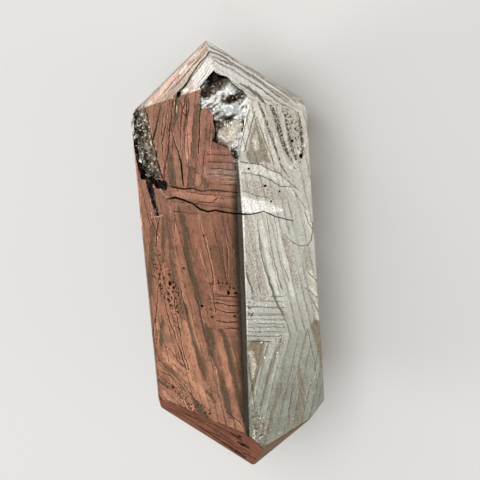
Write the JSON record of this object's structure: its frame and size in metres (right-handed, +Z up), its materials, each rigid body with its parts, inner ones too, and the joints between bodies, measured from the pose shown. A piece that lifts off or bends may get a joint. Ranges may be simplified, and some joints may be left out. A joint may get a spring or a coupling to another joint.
{
  "type": "double-terminated iron meteorite point",
  "caption": "Hexagonal point sawn from an iron meteorite, with a six-sided tip at each end, etched crystal bands and pitted natural crust.",
  "frame": {"origin": "on the surface that the stone lies on, under the middle of its bounding box", "axes": "+Y along the stone to its head tip, +Z up out of the surface that it lies on, +X to the right seen from the foot"},
  "size_m": [0.0196, 0.0456, 0.0173],
  "materials": {
    "etched_iron": "etched nickel iron: crossing bands of satin metal with thin dark lines between them, dark rough crust in the hollows"
  },
  "bodies": {
    "root": {"meteorite_point": "etched_iron"}
  },
  "joints": []
}
